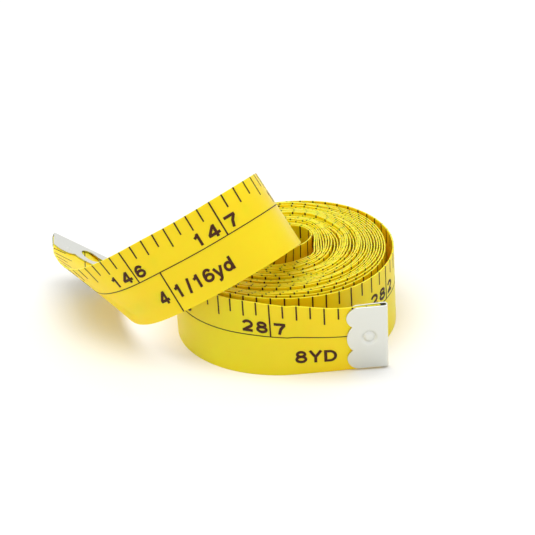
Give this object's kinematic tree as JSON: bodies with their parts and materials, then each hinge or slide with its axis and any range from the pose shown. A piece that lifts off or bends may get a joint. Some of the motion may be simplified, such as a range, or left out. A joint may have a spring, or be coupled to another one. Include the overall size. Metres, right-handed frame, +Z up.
{
  "type": "cloth tape measure",
  "caption": "Flexible sewing tape measure lying as a loose flat roll, its inner end pulled up out of the hole and over the rim, with a folded metal clip on each end.",
  "frame": {"origin": "middle of the whole object's outline, on the surface that the roll's edges lie on", "axes": "+Z up along the roll's axis; +X from the free inner end towards the roll and its outer clip; -Y is the side that the outer end and the crossing strip face"},
  "size_m": [0.0822, 0.0584, 0.0439],
  "materials": {
    "tape": "smooth vinyl coating over woven glass fibre, semi-gloss, printed with a dark scale",
    "clip": "pressed tinplate, pale and satin"
  },
  "bodies": {
    "root": {"tape_roll": "tape", "tape_outer_end": "tape", "tape_inner_end": "tape", "outer_end_clip": "clip", "inner_end_clip": "clip"}
  },
  "joints": []
}
